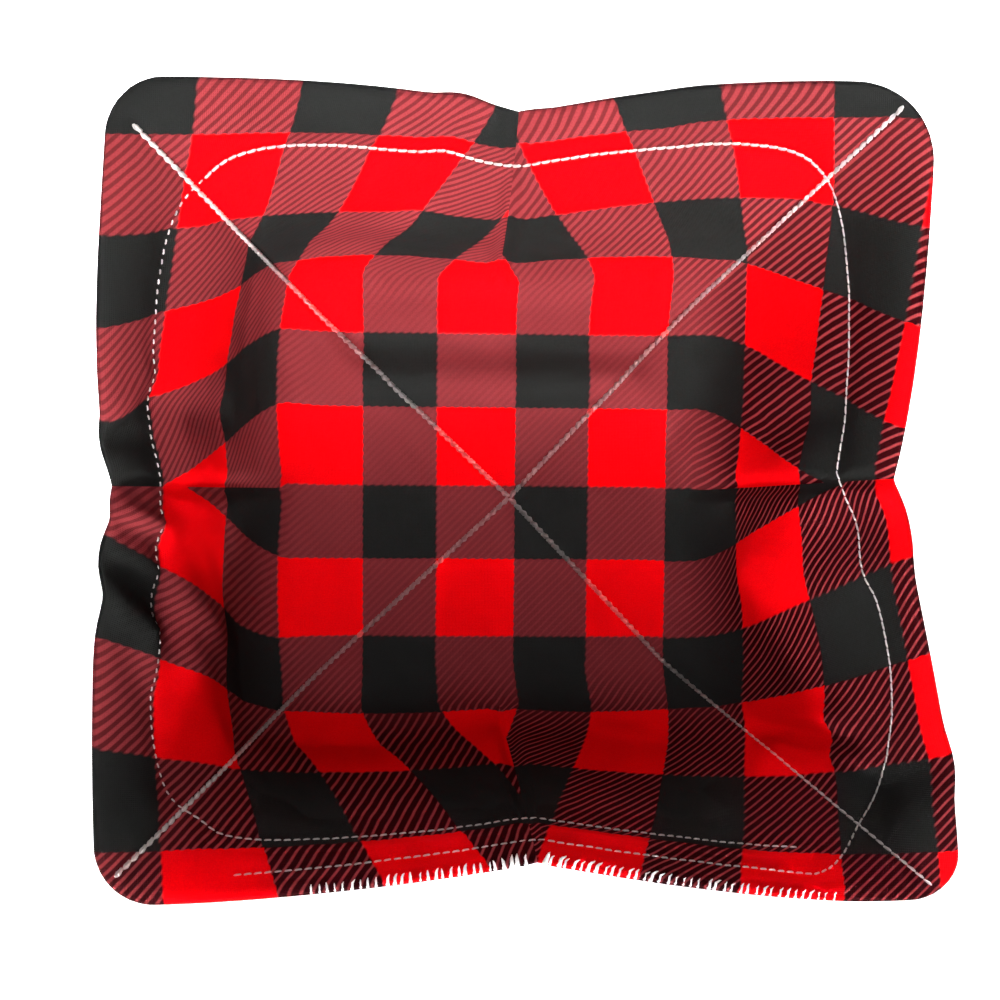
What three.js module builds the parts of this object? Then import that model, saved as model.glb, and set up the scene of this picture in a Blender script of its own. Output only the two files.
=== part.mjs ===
// Bowl cozy: two square quilted panels, drawn up into a soft four-cornered bowl by a dart on each side
// and sewn together around the rim. Millimetres, +Z up, standing on its flat base, back edge towards +Y.
//
// The cloth is laid out flat as (u, v), u to the right and v to the back, with the middle at (0, 0).
// A ring is a square of cloth around the middle, and its level is half of its side.
import * as THREE from 'three';

// Cloth and wadding
const HALF_SIDE = 119;
const PANEL_THICK = 2.4;
const PANEL_GAP = 0.3;
const ROLL = 5;
const CLOTH_COLOUR = '#a01218';

// The level at which each lean in the section table is read, and where the flat base ends
const BASE_END = 44;
const STATIONS = { foot: 52, bend: 62, low: 75, middle: 90, high: 105, rim: HALF_SIDE };

// Sections of the bowl, counter-clockwise: up each dart and up to each corner. A lean is in degrees from
// level, and sway is how far the section has drifted counter-clockwise at the rim.
const SECTIONS = [
  { at: 'right dart', foot: 3, bend: 56, low: 68, middle: 65, high: 60, rim: 50, sway: 6 },
  { at: 'back right corner', foot: 12, bend: 52, low: 62, middle: 58, high: 58, rim: 42, sway: -1 },
  { at: 'back dart', foot: 3, bend: 66, low: 77, middle: 68, high: 60, rim: 42, sway: -3 },
  { at: 'back left corner', foot: 28, bend: 72, low: 81, middle: 60, high: 46, rim: 10, sway: -4 },
  { at: 'left dart', foot: 3, bend: 52, low: 72, middle: 71, high: 64, rim: 62, sway: -3 },
  { at: 'front left corner', foot: 12, bend: 58, low: 80, middle: 62, high: 48, rim: 22, sway: 0 },
  { at: 'front dart', foot: 4, bend: 55, low: 75, middle: 73, high: 70, rim: 68, sway: 9 },
  { at: 'front right corner', foot: 14, bend: 42, low: 52, middle: 43, high: 42, rim: 12, sway: 12 },
];
const SWAY_START = 50;

// Darts on the right, back, left and front: the level of the tip, half of the cloth taken up at the rim, and
// how far counter-clockwise of the middle of its side the dart ends
const DARTS = [
  { tip: 57, take: 29, aside: 4.5 },
  { tip: 60, take: 31, aside: 0 },
  { tip: 59, take: 31, aside: 0 },
  { tip: 62, take: 27, aside: 0 },
];
const DART_EASE = 6;
// Share of a dart's own angle that the cloth still has beside the seam
const DART_RISE = 0.55;

// Rounding of the turned corners at the rim, in the order of the corner sections
const CORNER_ROUNDS = [16, 11, 12, 10];
const ROUND_START = 60;

// Quilting: four arms of an X from near the middle, and the topstitched spiral, doubled along the front
const QUILT_MIDDLE = [4, -2];
const QUILT_ENDS = [[114, 116], [-115, 111], [-116, -114], [115, -118]];
const TOPSTITCH = [
  [84, -106], [14, -106], [-76, -106], [-96, -100], [-105, -86], [-106, -40], [-106, 40], [-105, 82],
  [-98, 97], [-82, 105], [-36, 106], [44, 106], [80, 104], [94, 97], [100, 78], [104, 40], [107, -32],
  [110, -50], [110, -66], [107, -80], [99, -98], [90, -112], [74, -113], [4, -113], [-93, -114],
];
const TOPSTITCH_SAMPLES = 180;
const GROOVE = { depth: 0.8, reach: 3, dish: 0.4, dishReach: 9 };
const DART_GROOVE = { depth: 1.1, reach: 3.5 };

// Folds in the cloth, from one place on the flat cloth to another. A rise is into the bowl, and a negative
// one out of it. A soft fold lies in the inside face alone, and the others go through both panels.
const FOLDS = [
  { on: 'left rim, nearest the dart', from: [-119, -37], to: [-104, -32], width: 4, rise: 1.2, soft: false },
  { on: 'left rim, second pucker', from: [-119, -46], to: [-106, -42], width: 4, rise: -1, soft: false },
  { on: 'left rim, curved ridge', from: [-118, -54], to: [-106, -62], width: 5, rise: 1.5, soft: false },
  { on: 'left rim, behind the dart', from: [-119, 41], to: [-104, 36], width: 4, rise: -1.2, soft: false },
  { on: 'left wall, front', from: [-108, -42], to: [-86, -50], width: 7, rise: 1.8, soft: false },
  { on: 'left wall, back', from: [-104, 44], to: [-84, 32], width: 5, rise: -1.6, soft: false },
  { on: 'right rim bulge', from: [119, -35], to: [102, -31], width: 8, rise: -3, soft: false },
  { on: 'right wall, back', from: [80, 28], to: [98, 40], width: 5, rise: -1.2, soft: false },
  { on: 'right wall, ridge by the dart', from: [77, -26], to: [101, -39], width: 9, rise: 2.6, soft: false },
  { on: 'right wall, upper ridge', from: [70, -64], to: [96, -72], width: 6, rise: 1.6, soft: false },
  { on: 'right wall, lower ridge', from: [78, -79], to: [98, -83], width: 5, rise: 1.4, soft: false },
  { on: 'front right corner', from: [101, -93], to: [116, -88], width: 6, rise: -2, soft: false },
  { on: 'left wall, front corner', from: [-94, -60], to: [-88, -80], width: 6, rise: 1.4, soft: false },
  { on: 'back rim pull', from: [-43, 116], to: [-38, 92], width: 5, rise: -1.6, soft: false },
  { on: 'back rim roll', from: [38, 117], to: [60, 112], width: 6, rise: 1.2, soft: false },
  { on: 'base trough', from: [-42, 37], to: [40, 37], width: 6, rise: -1.1, soft: true },
  { on: 'base trough, back', from: [6, 53], to: [28, 48], width: 5, rise: -1.2, soft: true },
];
const FOLD_FADE = 5;

// The mesh of one face: levels of its rings, and places from a dart (0) to a corner (1)
const RING_LEVELS = [
  14, 28, 40, 47, 53, 58, 63, 69, 76, 83, 90, 97, 103, 108, 111, 114, 116.6, 118.3, HALF_SIDE,
];
const PLACES = [0, 0.04, 0.09, 0.15, 0.23, 0.33, 0.46, 0.6, 0.75, 0.87, 0.95, 1];

const SIDES = 4;
const TINY = 1e-6;
const UP = new THREE.Vector3(0, 0, 1);
const HALF_COLUMNS = PLACES.length - 1;
const COLUMNS = SIDES * 2 * HALF_COLUMNS;

const clamp01 = (x) => THREE.MathUtils.clamp(x, 0, 1);
const bump = (distance, reach) => Math.exp(-((distance / reach) ** 2));

// Half-width of the cloth that a dart takes up at a level
function dartHalf(side, level) {
  const dart = DARTS[side];
  return dart.take * Math.max(0, (level - dart.tip) / (HALF_SIDE - dart.tip));
}

// Middle of a dart along its side at a level
function dartMiddle(side, level) {
  return DARTS[side].aside * clamp01((level - BASE_END) / (HALF_SIDE - BASE_END));
}

function dartSlope(side) {
  return DARTS[side].take / (HALF_SIDE - DARTS[side].tip);
}

// Lean of a section at a level, in radians, straight-lined between its stations
function leanAt(section, level) {
  let [lowLevel, lowLean] = [BASE_END, 0];
  for (const [name, station] of Object.entries(STATIONS)) {
    if (level <= station) {
      const share = clamp01((level - lowLevel) / (station - lowLevel));
      return THREE.MathUtils.degToRad(lowLean + share * (section[name] - lowLean));
    }
    [lowLevel, lowLean] = [station, section[name]];
  }
  return THREE.MathUtils.degToRad(lowLean);
}

// Walk up each section a millimetre of level at a time, and keep how far out and how high it has come
function walkSection(section, index) {
  const isCorner = index % 2 === 1;
  const side = Math.floor(index / 2);
  const turn = (index * Math.PI) / SIDES;
  const out = new THREE.Vector3(Math.cos(turn), Math.sin(turn), 0);
  const across = new THREE.Vector3(-Math.sin(turn), Math.cos(turn), 0);
  const speed = (level) => {
    if (isCorner) return Math.SQRT2;
    return level > DARTS[side].tip ? Math.hypot(1, dartSlope(side)) : 1;
  };
  const path = [{ reach: 0, height: 0 }];
  for (let level = 0; level < HALF_SIDE; level++) {
    const lean = leanAt(section, level + 0.5);
    const last = path[level];
    const step = speed(level + 0.5);
    path.push({ reach: last.reach + step * Math.cos(lean), height: last.height + step * Math.sin(lean) });
  }
  return { section, out, across, speed, path };
}

const WALKS = SECTIONS.map(walkSection);

// Place and heading of a section at a level
function sectionAt(index, level) {
  const { section, out, across, speed, path } = WALKS[index];
  const step = Math.min(Math.floor(level), HALF_SIDE - 1);
  const share = level - step;
  const reach = THREE.MathUtils.lerp(path[step].reach, path[step + 1].reach, share);
  const height = THREE.MathUtils.lerp(path[step].height, path[step + 1].height, share);
  const swayRate = section.sway / (HALF_SIDE - SWAY_START);
  const sway = swayRate * Math.max(0, level - SWAY_START);
  const place = out.clone().multiplyScalar(reach).addScaledVector(across, sway).addScaledVector(UP, height);
  const lean = leanAt(section, level);
  const heading = out.clone().multiplyScalar(Math.cos(lean) * speed(level));
  heading.addScaledVector(UP, Math.sin(lean) * speed(level));
  heading.addScaledVector(across, level > SWAY_START ? swayRate : 0).normalize();
  return { place, heading, across };
}

// Side of the cloth that a flat place lies on, with its level and how far it is along that side
function sideOf(u, v) {
  if (Math.abs(u) >= Math.abs(v)) {
    return u >= 0 ? { side: 0, level: u, along: v } : { side: 2, level: -u, along: -v };
  }
  return v >= 0 ? { side: 1, level: v, along: -u } : { side: 3, level: -v, along: u };
}

// Inside face of the bowl over a flat place: each ring runs in a smooth curve from its dart to its corner,
// and none of the cloth hangs below the base
function bowlPlace(u, v) {
  const { side, level, along } = sideOf(u, v);
  const middle = dartMiddle(side, level);
  const way = along < middle ? -1 : 1;
  const half = dartHalf(side, level);
  const length = Math.max(level - way * middle - half, TINY);
  const share = clamp01((Math.abs(along - middle) - half) / length);
  const dart = sectionAt(2 * side, level);
  const corner = sectionAt((2 * side + way + 2 * SIDES) % (2 * SIDES), level);
  const ease = clamp01((level - DARTS[side].tip + DART_EASE) / (2 * DART_EASE));
  const rise = DART_RISE * Math.atan(dartSlope(side)) * ease;
  const leaving = dart.heading.multiplyScalar(Math.sin(rise));
  leaving.addScaledVector(dart.across, way * Math.cos(rise));
  const arriving = corner.heading.addScaledVector(corner.across, way).multiplyScalar(Math.SQRT1_2);
  const [s2, s3] = [share ** 2, share ** 3];
  const place = dart.place.multiplyScalar(2 * s3 - 3 * s2 + 1);
  place.addScaledVector(leaving, length * (s3 - 2 * s2 + share));
  place.addScaledVector(corner.place, 3 * s2 - 2 * s3);
  place.addScaledVector(arriving, length * (s3 - s2));
  place.z = Math.max(place.z, 0);
  return place;
}

// Flat place on a ring, at a share of the way from a dart to a corner, which is rounded towards the rim
function ringPlace(side, way, share, level) {
  const corner = (way > 0 ? side : side + SIDES - 1) % SIDES;
  const growth = clamp01((level - ROUND_START) / (HALF_SIDE - ROUND_START));
  const round = CORNER_ROUNDS[corner] * growth;
  const edge = way * dartMiddle(side, level) + dartHalf(side, level);
  const straight = level - round - edge;
  const walked = share * (straight + (round * Math.PI) / 4);
  let [out, along] = [level, edge + walked];
  if (walked > straight) {
    const angle = (walked - straight) / round;
    out = level - round + round * Math.cos(angle);
    along = level - round + round * Math.sin(angle);
  }
  along *= way;
  return [[out, along], [-along, out], [-out, -along], [along, -out]][side];
}

function distanceToSegment(u, v, from, to) {
  const [du, dv] = [to[0] - from[0], to[1] - from[1]];
  const share = clamp01(((u - from[0]) * du + (v - from[1]) * dv) / (du * du + dv * dv));
  return Math.hypot(u - from[0] - share * du, v - from[1] - share * dv);
}

const TOPSTITCH_ROUTE = new THREE.SplineCurve(TOPSTITCH.map(([u, v]) => new THREE.Vector2(u, v)))
  .getPoints(TOPSTITCH_SAMPLES);

// Distance to the nearest line of sewing that goes through both panels
function distanceToSewing(u, v) {
  const toQuilting = QUILT_ENDS.map((end) => distanceToSegment(u, v, QUILT_MIDDLE, end));
  const toTopstitch = TOPSTITCH_ROUTE.map((point) => Math.hypot(u - point.x, v - point.y));
  return Math.min(...toQuilting, ...toTopstitch);
}

// Distance along a ring to the nearest dart seam
function distanceToDart(u, v) {
  const { side, level, along } = sideOf(u, v);
  const aside = Math.abs(along - dartMiddle(side, level));
  if (level < DARTS[side].tip) return Math.hypot(DARTS[side].tip - level, aside);
  return aside - dartHalf(side, level);
}

// How far the sewing and the darts draw a face into the wadding
function drawnIn(u, v) {
  const sewing = distanceToSewing(u, v);
  const pressed = GROOVE.depth * bump(sewing, GROOVE.reach) + GROOVE.dish * bump(sewing, GROOVE.dishReach);
  const darted = DART_GROOVE.depth * bump(distanceToDart(u, v), DART_GROOVE.reach);
  return Math.max(pressed, darted);
}

// Rise of the folds at a flat place, which die away at a dart seam
function foldRise(u, v, soft) {
  const fade = 1 - bump(Math.max(0, distanceToDart(u, v)), FOLD_FADE);
  const rises = FOLDS.filter((fold) => fold.soft === soft)
    .map((fold) => fold.rise * bump(distanceToSegment(u, v, fold.from, fold.to), fold.width));
  return fade * rises.reduce((sum, rise) => sum + rise, 0);
}

// Flat places of the mesh: the middle, then each ring counter-clockwise from the front right corner
function flatPlaces() {
  const places = [[0, 0]];
  for (const level of RING_LEVELS) {
    for (let side = 0; side < SIDES; side++) {
      for (let step = -HALF_COLUMNS; step < HALF_COLUMNS; step++) {
        places.push(ringPlace(side, step < 0 ? -1 : 1, PLACES[Math.abs(step)], level));
      }
    }
  }
  return places;
}

// Triangles of one face over the rings, facing into the bowl
function faceTriangles() {
  const triangles = [];
  for (let column = 0; column < COLUMNS; column++) {
    const next = (column + 1) % COLUMNS;
    triangles.push([0, 1 + column, 1 + next]);
    for (let ring = 1; ring < RING_LEVELS.length; ring++) {
      const near = 1 + (ring - 1) * COLUMNS;
      const far = near + COLUMNS;
      triangles.push([near + column, far + column, far + next], [near + column, far + next, near + next]);
    }
  }
  return triangles;
}

// Directions out of the bowl at each place of a face
function outwardDirections(points, triangles) {
  const geometry = new THREE.BufferGeometry().setFromPoints(points);
  geometry.setIndex(triangles.flat());
  geometry.computeVertexNormals();
  const normals = geometry.getAttribute('normal');
  return points.map((point, index) => new THREE.Vector3().fromBufferAttribute(normals, index).negate());
}

const PLACES_FLAT = flatPlaces();
const TRIANGLES = faceTriangles();

// Inside of the bowl, smooth at first and then with its folds
function foldedInside() {
  const smooth = PLACES_FLAT.map(([u, v]) => bowlPlace(u, v));
  const outward = outwardDirections(smooth, TRIANGLES);
  return smooth.map((point, index) => {
    const [u, v] = PLACES_FLAT[index];
    return point.addScaledVector(outward[index], -foldRise(u, v, false));
  });
}

const INSIDE = foldedInside();
const OUTWARD = outwardDirections(INSIDE, TRIANGLES);

// Share of a panel's thickness that is left as its edge rolls over to the rim seam
function rollShare(level) {
  const share = clamp01((level - HALF_SIDE + ROLL) / ROLL);
  return Math.sqrt(1 - share * share);
}

function levelOf(index) {
  return index === 0 ? 0 : RING_LEVELS[Math.floor((index - 1) / COLUMNS)];
}

// Depths of a panel's face that shows, below the smooth inside
function insideDepth(index) {
  const [u, v] = PLACES_FLAT[index];
  const share = rollShare(levelOf(index));
  return PANEL_THICK - share * (PANEL_THICK - drawnIn(u, v) + foldRise(u, v, true));
}

function outsideDepth(index) {
  const [u, v] = PLACES_FLAT[index];
  return PANEL_THICK + PANEL_GAP + rollShare(levelOf(index)) * (PANEL_THICK - drawnIn(u, v));
}

const sewnDepth = () => PANEL_THICK;
const backedDepth = () => PANEL_THICK + PANEL_GAP;

// A closed panel between an upper and a lower face that share their points along the rim
function panelGeometry(upperDepth, lowerDepth) {
  const rimStart = INSIDE.length - COLUMNS;
  const atDepth = (depth) => (point, index) => point.clone().addScaledVector(OUTWARD[index], depth(index));
  const upper = INSIDE.map(atDepth(upperDepth));
  const lower = INSIDE.map(atDepth(lowerDepth)).slice(0, rimStart);
  const lowerIndex = (index) => (index < rimStart ? INSIDE.length + index : index);
  const lowerTriangles = TRIANGLES.map(([a, b, c]) => [lowerIndex(a), lowerIndex(c), lowerIndex(b)]);
  const geometry = new THREE.BufferGeometry().setFromPoints([...upper, ...lower]);
  geometry.setIndex([...TRIANGLES, ...lowerTriangles].flat());
  geometry.computeVertexNormals();
  return geometry;
}

function panel(name, upperDepth, lowerDepth) {
  const material = new THREE.MeshStandardMaterial({ color: CLOTH_COLOUR, roughness: 0.95, metalness: 0 });
  const mesh = new THREE.Mesh(panelGeometry(upperDepth, lowerDepth), material);
  mesh.name = name;
  return mesh;
}

const cozy = new THREE.Group();
cozy.add(panel('inner_panel', insideDepth, sewnDepth));
cozy.add(panel('outer_panel', backedDepth, outsideDepth));

// The origin is under the middle of the whole cozy, on the surface that it stands on
const box = new THREE.Box3().setFromObject(cozy);
const middle = box.getCenter(new THREE.Vector3());
cozy.position.set(-middle.x, -middle.y, -box.min.z);

export default cozy;
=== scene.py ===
import math

import bpy
import numpy as np
from mathutils import Matrix, Vector
from mathutils.bvhtree import BVHTree


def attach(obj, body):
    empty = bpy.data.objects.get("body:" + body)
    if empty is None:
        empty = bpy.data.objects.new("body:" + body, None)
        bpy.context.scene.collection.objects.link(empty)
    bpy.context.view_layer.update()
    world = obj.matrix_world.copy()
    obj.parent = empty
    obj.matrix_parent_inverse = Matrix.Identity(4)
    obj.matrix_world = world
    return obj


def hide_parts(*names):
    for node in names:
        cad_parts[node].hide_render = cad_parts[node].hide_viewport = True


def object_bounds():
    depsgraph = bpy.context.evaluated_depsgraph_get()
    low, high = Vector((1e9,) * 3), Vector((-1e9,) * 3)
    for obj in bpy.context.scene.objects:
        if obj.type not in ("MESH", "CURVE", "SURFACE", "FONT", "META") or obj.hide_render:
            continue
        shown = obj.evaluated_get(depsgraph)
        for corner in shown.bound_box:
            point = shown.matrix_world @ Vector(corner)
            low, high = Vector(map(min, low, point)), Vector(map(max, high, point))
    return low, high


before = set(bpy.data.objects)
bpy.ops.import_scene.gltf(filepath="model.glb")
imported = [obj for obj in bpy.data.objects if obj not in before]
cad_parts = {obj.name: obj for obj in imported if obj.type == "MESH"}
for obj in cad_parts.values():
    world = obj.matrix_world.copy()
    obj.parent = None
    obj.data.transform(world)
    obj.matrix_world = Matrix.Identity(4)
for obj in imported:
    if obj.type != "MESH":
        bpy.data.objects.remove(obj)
CAD_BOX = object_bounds()
MM = 0.001

# Half of the cloth's side, thickness of a panel with its wadding, what is left of it in the deepest creases,
# the gap between the panels, and how far in from the rim they start to roll over
HALF_SIDE = 119
PANEL_THICK = 2.4
LEAST_THICK = 0.5
PANEL_GAP = 0.3
ROLL = 5

# The level at which each lean in the section table is read, and where the flat base ends
BASE_END = 44
STATIONS = {"foot": 52, "bend": 62, "low": 75, "middle": 90, "high": 105, "rim": HALF_SIDE}

# Sections of the bowl, counter-clockwise from the right dart: leans in degrees from level at the stations,
# and how far the section has drifted counter-clockwise at the rim
SECTION_COLUMNS = ("at", "foot", "bend", "low", "middle", "high", "rim", "sway")
SECTION_ROWS = [
    ("right dart", 3, 56, 68, 65, 60, 50, 6),
    ("back right corner", 12, 52, 62, 58, 58, 42, -1),
    ("back dart", 3, 66, 77, 68, 60, 42, -3),
    ("back left corner", 28, 72, 81, 60, 46, 10, -4),
    ("left dart", 3, 52, 72, 71, 64, 62, -3),
    ("front left corner", 12, 58, 80, 62, 48, 22, 0),
    ("front dart", 4, 55, 75, 73, 70, 68, 9),
    ("front right corner", 14, 42, 52, 43, 42, 12, 12),
]
SECTIONS = [dict(zip(SECTION_COLUMNS, row)) for row in SECTION_ROWS]

# Level at which that drift starts
SWAY_START = 50

# Darts on the right, back, left and front: the level of the tip, half of the cloth taken up at the rim, and
# how far counter-clockwise of the middle of its side the dart ends
DART_TIPS = (57, 60, 59, 62)
DART_TAKES = (29, 31, 31, 27)
DART_ASIDES = (4.5, 0, 0, 0)
# Levels before and after the tip between which a dart's angle comes up, and the share of that angle that the
# cloth still has beside the seam
DART_EASE = 6
DART_RISE = 0.55

# Rounding of the turned corners at the rim, in the order of the corner sections, and the level at which it
# starts
CORNER_ROUNDS = (16, 11, 12, 10)
ROUND_START = 60

# Quilting: four arms of an X from near the middle, and the topstitched spiral, doubled along the front
QUILT_MIDDLE = (4, -2)
QUILT_ENDS = ((114, 116), (-115, 111), (-116, -114), (115, -118))
TOPSTITCH = (
    (84, -106), (14, -106), (-76, -106), (-96, -100), (-105, -86), (-106, -40), (-106, 40), (-105, 82),
    (-98, 97), (-82, 105), (-36, 106), (44, 106), (80, 104), (94, 97), (100, 78), (104, 40), (107, -32),
    (110, -50), (110, -66), (107, -80), (99, -98), (90, -112), (74, -113), (4, -113), (-93, -114),
)
# Spacing of the points along a line of sewing, and how deep and how far to either side the sewing and the
# dart seams draw the cloth in
ROUTE_STEP = 0.3
GROOVE_DEPTH, GROOVE_REACH = 0.8, 3
DISH_DEPTH, DISH_REACH = 0.4, 9
DART_GROOVE_DEPTH, DART_GROOVE_REACH = 1.7, 2.6

# Folds that go through both panels: from one flat place to another, width, and rise into the bowl
FOLD_COLUMNS = ("on", "start", "end", "width", "rise")
FOLD_ROWS = [
    ("left rim, nearest the dart", (-119, -37), (-104, -32), 4, 1.2),
    ("left rim, second pucker", (-119, -46), (-106, -42), 4, -1),
    ("left rim, curved ridge", (-118, -54), (-106, -62), 5, 1.5),
    ("left rim, behind the dart", (-119, 41), (-104, 36), 4, -1.2),
    ("left wall, front", (-108, -42), (-86, -50), 7, 1.8),
    ("left wall, back", (-104, 44), (-84, 32), 5, -1.6),
    ("right rim bulge", (119, -35), (102, -31), 8, -3),
    ("right wall, back", (80, 28), (98, 40), 5, -1.2),
    ("right wall, ridge by the dart", (77, -26), (101, -39), 9, 2.6),
    ("right wall, upper ridge", (70, -64), (96, -72), 6, 1.6),
    ("right wall, lower ridge", (78, -79), (98, -83), 5, 1.4),
    ("front right corner", (101, -93), (116, -88), 6, -2),
    ("left wall, front corner", (-94, -60), (-88, -80), 6, 1.4),
    ("back rim pull", (-43, 116), (-38, 92), 5, -1.6),
    ("back rim roll", (38, 117), (60, 112), 6, 1.2),
]
FOLDS = [dict(zip(FOLD_COLUMNS, row)) for row in FOLD_ROWS]

# Soft folds in the inside face alone
SOFT_FOLD_ROWS = [
    ("base ridge", (-36, 32), (40, 32), 4.5, 2.8),
    ("base trough", (-42, 42), (40, 42), 4, -1.5),
    ("base trough, back", (6, 53), (28, 48), 5, -1.3),
    ("pucker at the right foot", (47, 5), (51, 18), 3.5, -1.3),
    ("ridge at the right foot", (54, 9), (59, 20), 3.5, 1),
    ("left rim, ridge at the dart", (-117, -34), (-107, -33), 2, 1.4),
    ("left rim, crease at the dart", (-117, -39), (-107, -38), 2, -1.3),
    ("left rim, next ridge", (-117, -44), (-107, -44), 2.2, 1.3),
    ("left rim, next crease", (-117, -49), (-107, -50), 2.2, -1.2),
    ("left rim, rolled ridge", (-116, -55), (-108, -58), 2.6, 1.6),
    ("left rim, end of the rolled ridge", (-108, -58), (-106, -68), 2.6, 1.6),
    ("right wall, first ridge", (76, -66), (98, -73), 2.6, 1.2),
    ("right wall, crease between", (76, -72), (99, -79), 2.6, -1.4),
    ("right wall, second ridge", (80, -78), (99, -84), 2.6, 1.2),
    ("left rim, crease behind the dart", (-117, 41), (-107, 45), 2.4, -1.4),
    ("left rim, ridge behind the dart", (-117, 47), (-108, 52), 2.6, 1.3),
]
SOFT_FOLDS = [dict(zip(FOLD_COLUMNS, row)) for row in SOFT_FOLD_ROWS]

# How near a dart seam a fold dies away
FOLD_FADE = 5

# Slow unevenness of the wadding under both faces, and the finer puckers of the cloth over it, both made of
# crossing waves: how far one set wanders, and how much closer together the other one is
LUMP_HEIGHT = 0.22
LUMP_LENGTH = 23
PUCKER_HEIGHT = 0.32
PUCKER_LENGTH = 4.4
WAVE_WANDER = 2
WAVE_CROWDING = 1.3

# The fine mesh of a face: spacing of its rings on the base, on the walls and over the rolled rim, the number
# of columns from a dart to a corner, and how much closer together they are near both
BASE_SPACING = 2.2
WALL_SPACING = 1.15
ROLL_SHARES = (0.2, 0.4, 0.57, 0.72, 0.84, 0.92, 0.97, 1)
HALF_COLUMNS = 54
CROWDING = 0.62

# Check of the cloth: side of a square, then in squares how many repeat, where the pattern starts, how much
# of a repeat is black-ish, the blur of an edge and how far the lines of the twill run over it
SQUARE = 22
REPEAT = 2.0
CHECK_START = (0.27, 0.07)
BLACK_COLUMN_SHARE = 0.48
BLACK_ROW_SHARE = 0.48
CHECK_BLUR = 0.018
TWILL_TOOTH = 0.012

# Spacing of the printed twill along a yarn, how far its lines waver, and spacing of the yarns
TWILL_PITCH = 2.4
TWILL_WAVER = 0.5
YARN_PITCH = 0.42

# Painted shade in the twill: towards the front, which lies in shade, it is painted with more contrast
# and thinner light lines, so darker, and towards the lit back with less. Its contrast on the base and at
# the back, the levels and the distances to the front between which it comes up, how much thinner the light
# lines get, how far to the right counts as to the front, where between dark and light the twill settles, and
# the part of a wave over which a line turns from dark to light
BASE_TWILL, TWILL_RISE = 0.15, (48, 78)
LIT_BACK_TWILL, TWILL_SHADE_RAMP = 0.32, (-60, 60)
SHADE_LINE_THINNING = 0.36
SHADE_RIGHTWARD = 0.9
TWILL_MIDDLE = 0.43
TWILL_EDGE = (0.15, 0.75)

# The check runs askew towards the back corners: where that starts, and how fast it grows
ASKEW_START = 45
ASKEW = 0.00063

# Colours, linear
RED = (0.6, 0.0, 0.0015)
BLACK = (0.0085, 0.0087, 0.0083)
TWILL_LIGHT = (0.24, 0.034, 0.038)
TWILL_DARK = (0.018, 0.0002, 0.001)
THREAD_WHITE = (0.5, 0.45, 0.43)
EDGE_WHITE = (0.95, 0.94, 0.92)
FLOOR_WHITE = (0.93, 0.93, 0.93)
FLOOR_GREY = (0.9, 0.9, 0.9)
GLOW_WHITE = (1, 1, 1, 1)

# Surface of the cloth. A noise is its scale for each metre and its detail, a relief is its strength and its
# height, and a shade or a roughness is what the noise adds to it and its least.
FIBRE_NOISE = (2600, 3)
FADING_NOISE = (28, 2)
CRUMPLE_NOISE = (90, 3)
WAVER_NOISE = (180, 2)
FADING_SHADE = (0.35, 0.56)
FIBRE_SHADE = 0.5
FIBRE_HEIGHT = 0.8
TWILL_RELIEF = (0.12, 0.1)
WEAVE_RELIEF = (0.35, 0.12)
CRUMPLE_RELIEF = (0.35, 0.9)
CLOTH_ROUGHNESS = (0.2, 0.78)
CLOTH_GLOSS = 0.03

# Surface of the thread and of the floor, in the same way
THREAD_FIBRE_NOISE = (9000, 2)
THREAD_PATCH_NOISE = (900, 2)
THREAD_SHADE = (0.7, 0.65)
THREAD_RELIEF = (0.3, 0.05)
THREAD_ROUGHNESS = (0.2, 0.6)
THREAD_GLOSS = 0.1
FLOOR_NOISE = (40, 2)
FLOOR_ROUGHNESS = 0.9

# Share of the thread's own white, the rest being the cloth that shows through it: on the base and what the
# walls add, with the levels between which that and the white of the overlocked edge come up
THREAD_BASE_SHARE = 0.16
THREAD_WALL_SHARE, THREAD_WALL_RISE = 0.45, (52, 100)
THREAD_EDGE_RISE = (114, 117.5)

# Stitches: length from one to the next, the width of the thread and how much of the length it covers, for
# the quilting and for the topstitch on each side
STITCH_PITCH = 2.3
QUILT_BASE_WIDTH, QUILT_FILL = 1.4, 0.98
QUILT_END_WIDTHS = (1, 1.1, 1.1, 0.65)
BACK_WIDTH, BACK_FILL = 0.7, 0.95
RIGHT_WIDTH, RIGHT_FILL = 0.45, 0.98
LEFT_WIDTH, LEFT_FILL = 0.4, 0.5
FRONT_WIDTH, FRONT_FILL = 0.45, 0.76
# Form of a stitch, in widths of its thread: how far it slants and arches, how deep it sits, and the share of
# the width left at its ends
STITCH_SLANT = 0.16
STITCH_ARCH = 0.55
STITCH_SINK = 0.25
STITCH_TIP = 0.35
# Mesh of a stitch, the turns of its two plies and the depth of the groove between them
STITCH_RINGS = 9
STITCH_SIDES = 10
PLY_TURNS = 1.5
PLY_DEPTH = 0.16
# Neighbours on either side that even out a laid line of sewing
EVEN_REACH = 4

# Overlocked edge at the closed gap, along the front rim on either side of the dart: the spacing and width of
# its threads, the share of the width left at their tips, how far in they reach and how far they lean
OVERLOCK_RUNS = ((-76, -28.5), (28.5, 92))
OVERLOCK_PITCH = 1.7
OVERLOCK_WIDTH = 1.2
OVERLOCK_TIP = 0.12
OVERLOCK_IN = 1.8
OVERLOCK_LEAN = 1.1
# How uneven the threads are, with the leans more so, and how they get smaller away from the dart
OVERLOCK_UNEVEN, OVERLOCK_SEED = 0.35, 5
OVERLOCK_LEAN_UNEVEN = 2
OVERLOCK_PEAK = 0
OVERLOCK_SPREAD = 45
OVERLOCK_LEAST = 0.5

# Camera above the middle of the flat cloth, found from the places of the checks in the photograph
CAMERA_PLACE = (-7.52, 12.57, 301.63)
CAMERA_TILT = (-2.89, -1.68, 0.43)
CAMERA_LENS = 37.46
CAMERA_SENSOR = 36
CAMERA_NEAR = 0.01

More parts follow.
